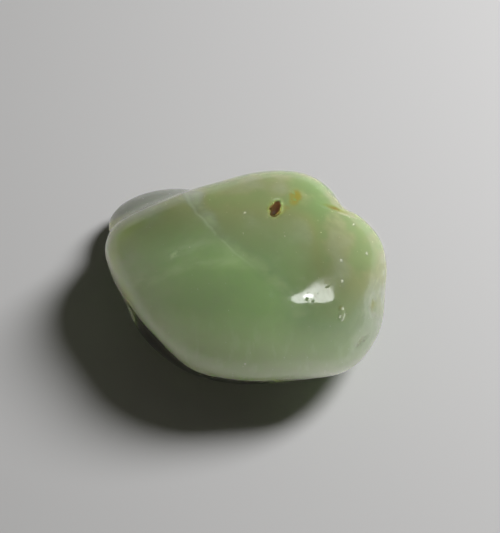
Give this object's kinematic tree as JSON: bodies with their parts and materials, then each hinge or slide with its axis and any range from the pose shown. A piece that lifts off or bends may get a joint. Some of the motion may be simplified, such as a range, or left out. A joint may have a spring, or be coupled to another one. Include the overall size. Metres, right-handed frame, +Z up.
{
  "type": "tumbled prehnite pebble",
  "caption": "Small polished pebble of translucent green prehnite, lens-shaped with one blunt end and a thin shelf at the back; rests on a worn flat.",
  "frame": {"origin": "on the resting surface, under the middle of the pebble's outline", "axes": "+Z up, +X along the longest side towards the blunt end, +Y away from the undercut side towards the crest and the shelf"},
  "size_m": [0.0286, 0.025, 0.0133],
  "materials": {
    "prehnite": "tumbled and polished, glossy, translucent pale green with milky veils and one brown pit"
  },
  "bodies": {
    "root": {"prehnite_pebble": "prehnite"}
  },
  "joints": []
}
